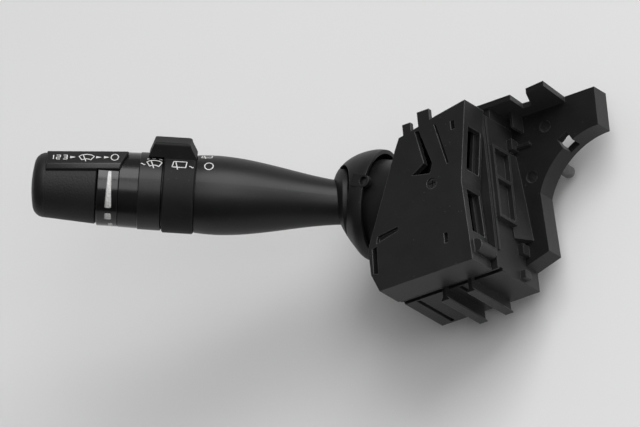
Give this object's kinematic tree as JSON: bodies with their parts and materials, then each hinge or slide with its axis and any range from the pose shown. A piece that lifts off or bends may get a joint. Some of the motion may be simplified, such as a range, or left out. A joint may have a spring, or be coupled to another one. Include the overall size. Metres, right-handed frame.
{
  "type": "combination stalk switch",
  "caption": "Steering-column stalk switch: a tapered lever with a twist knob and a rear ring, a domed pivot hood, and a switch box on an arched mounting plate.",
  "frame": {"origin": "where the steering column's axis crosses the back of the mounting plate", "axes": "+Z along the column's axis to the driver, +X from the lever's side to the column, +Y up in the plane of the steering wheel"},
  "size_m": [0.1909, 0.0782, 0.1049],
  "materials": {
    "housing_plastic": "moulded black, fine matte texture",
    "cover_plastic": "moulded black, satin",
    "hood_plastic": "moulded black, matte",
    "lever_plastic": "satin black",
    "ring_plastic": "satin black",
    "knob_plastic": "fine-grained black",
    "scale_gloss": "glossy black",
    "legend_black": "smooth black",
    "root_plastic": "glass-filled black",
    "acetal": "natural white acetal",
    "peg_grey": "light grey plastic",
    "board": "green board",
    "lead_film": "flat film cable",
    "contact_brass": "plain",
    "steel": "bright zinc"
  },
  "bodies": {
    "housing": {"base_housing": "housing_plastic", "mounting_bracket": "housing_plastic", "top_cover": "cover_plastic", "rear_cover": "housing_plastic", "connector_shroud": "housing_plastic", "terminal_pins": "contact_brass", "circuit_board": "board", "fixed_contacts": "contact_brass", "washer_contacts": "contact_brass", "mechanism_frame": "root_plastic", "detent_block": "acetal", "cover_screw": "steel", "locating_peg": "peg_grey", "pivot_collar": "housing_plastic"},
    "swing_carrier": {"pivot_hood": "hood_plastic", "gimbal_ring": "acetal", "swing_pins": "steel", "pull_pin": "steel"},
    "lever": {"lever_root": "root_plastic", "root_cap": "hood_plastic", "lever_stem": "lever_plastic", "lever_core": "root_plastic", "lever_sleeve": "lever_plastic", "delay_scale_ring": "scale_gloss", "lever_board": "board", "lever_lead": "lead_film", "detent_ball": "steel", "detent_ball_spring": "steel", "plunger_spring": "steel"},
    "plunger": {"detent_plunger": "acetal"},
    "rear_ring": {"rear_wiper_ring": "ring_plastic", "ring_carrier": "acetal", "ring_contact": "contact_brass"},
    "knob": {"wiper_knob": "knob_plastic", "knob_end_cap": "knob_plastic", "knob_spindle": "acetal", "knob_contact": "contact_brass", "knob_legend_plate": "legend_black"},
    "swing_slide_body": {"swing_slider": "acetal", "slider_contact": "contact_brass"},
    "pull_slide_body": {"pull_slider": "acetal", "pull_contact": "contact_brass"}
  },
  "joints": [
    {"name": "lever_swing", "type": "hinge", "parent": "housing", "child": "swing_carrier", "pos_m": [-0.07865, 0.02067, 0.0205], "axis": [0, 0, 1], "range_deg": [-7, 7], "stiffness_Nm_per_rad": 4},
    {"name": "lever_pull", "type": "hinge", "parent": "swing_carrier", "child": "lever", "pos_m": [-0.07865, 0.02067, 0.0205], "axis": [0.4067, 0.9135, 0], "range_deg": [0, 7], "stiffness_Nm_per_rad": 4},
    {"name": "knob_turn", "type": "hinge", "parent": "lever", "child": "knob", "pos_m": [-0.0846, 0.0196, 0.0205], "axis": [-0.8376, 0.1643, 0.521], "range_deg": [-136, 0]},
    {"name": "ring_turn", "type": "hinge", "parent": "lever", "child": "rear_ring", "pos_m": [-0.0846, 0.0196, 0.0205], "axis": [-0.8376, 0.1643, 0.521], "range_deg": [-15, 45]},
    {"name": "swing_slide", "type": "slide", "parent": "housing", "child": "swing_slide_body", "axis": [0.4067, 0.9135, 0], "range_m": [-0.00225, 0.00225]},
    {"name": "pull_slide", "type": "slide", "parent": "housing", "child": "pull_slide_body", "axis": [0, 0, 1], "range_m": [-0.003, 0]},
    {"name": "plunger_slide", "type": "slide", "parent": "lever", "child": "plunger", "axis": [0.9135, -0.4067, 0], "range_m": [-0.0012, 0], "stiffness_N_per_m": 600}
  ],
  "couplings": [
    {"joint": "swing_slide", "follows": "lever_swing", "m_per_rad": 0.018},
    {"joint": "pull_slide", "follows": "lever_pull", "m_per_rad": -0.024}
  ]
}
